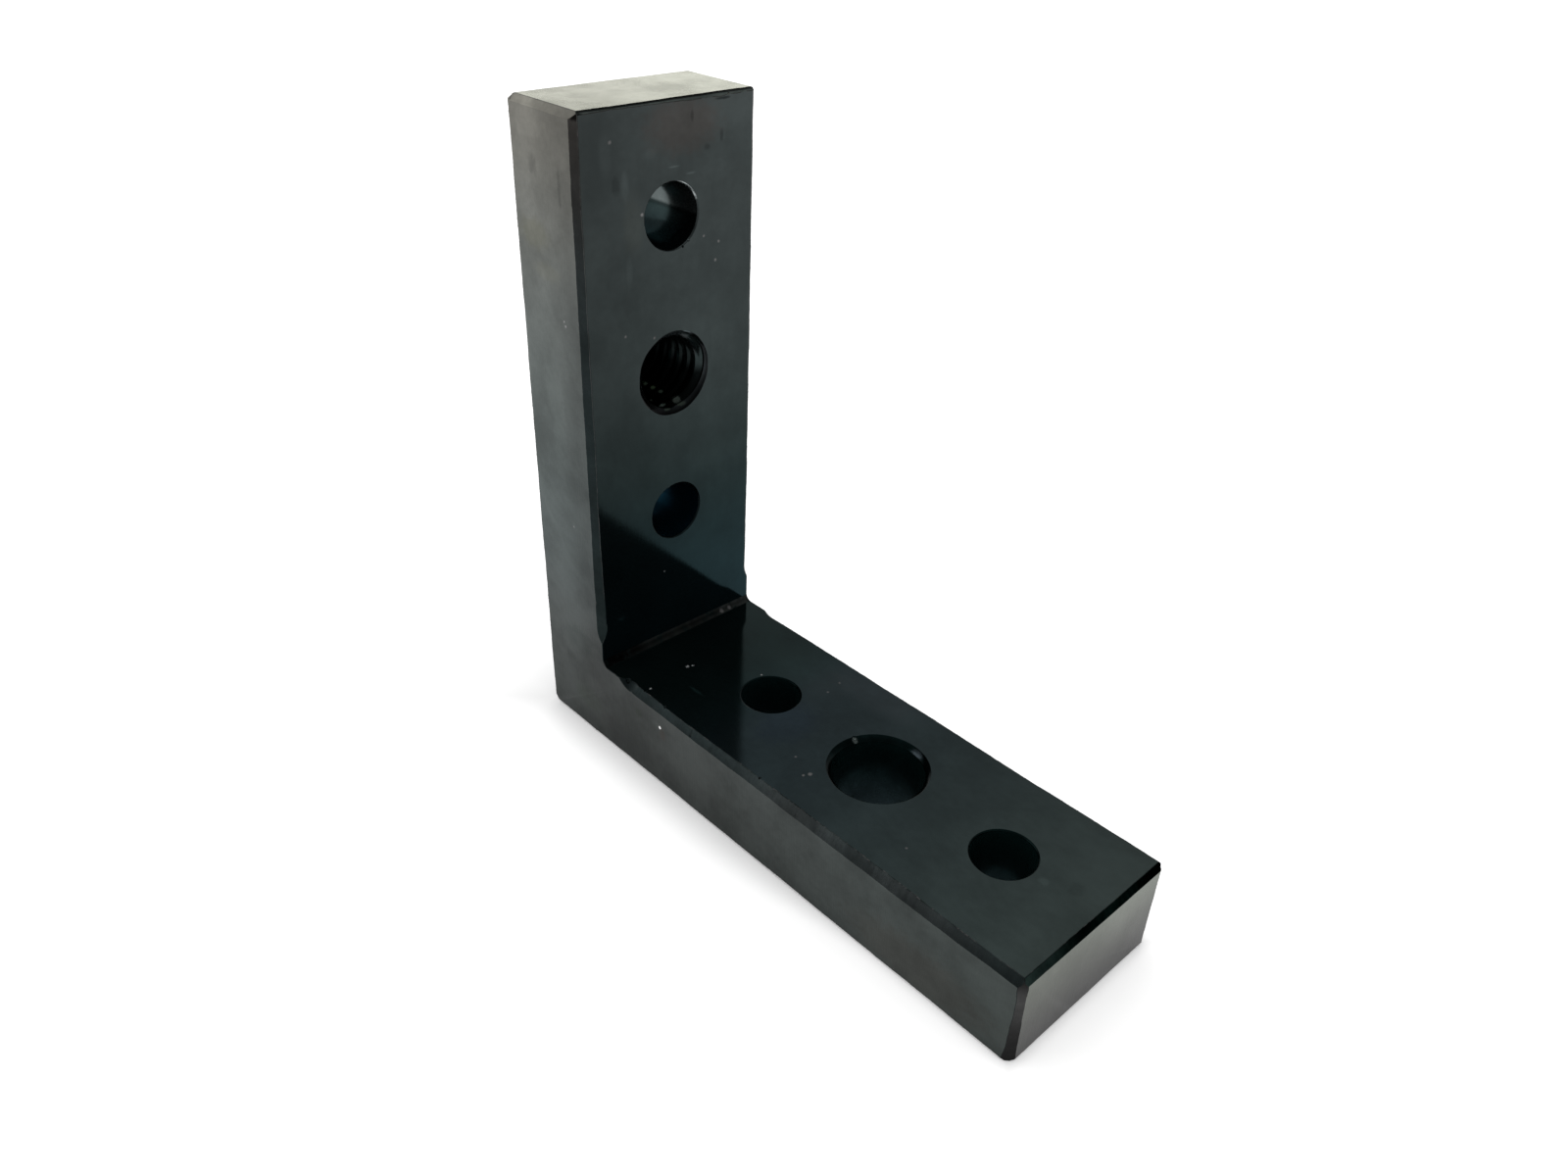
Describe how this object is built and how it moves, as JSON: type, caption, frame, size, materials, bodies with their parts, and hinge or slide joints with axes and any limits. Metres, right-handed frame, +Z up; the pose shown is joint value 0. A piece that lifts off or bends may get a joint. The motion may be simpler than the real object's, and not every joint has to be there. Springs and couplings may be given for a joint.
{
  "type": "angle plate",
  "caption": "L-shaped steel plate with two equal legs at a right angle; dowel bores and a bolt hole in the base, dowel bores and a tapped hole in the upright.",
  "frame": {"origin": "middle of the underside: half way along the base leg's length and its width", "axes": "+X along the base leg, from the upright to the free end; +Y across the width; +Z up along the upright"},
  "size_m": [0.065, 0.02, 0.065],
  "materials": {
    "blackened_steel": "ground steel, black oxide, lightly oiled"
  },
  "bodies": {
    "root": {"angle_plate": "blackened_steel"}
  },
  "joints": []
}
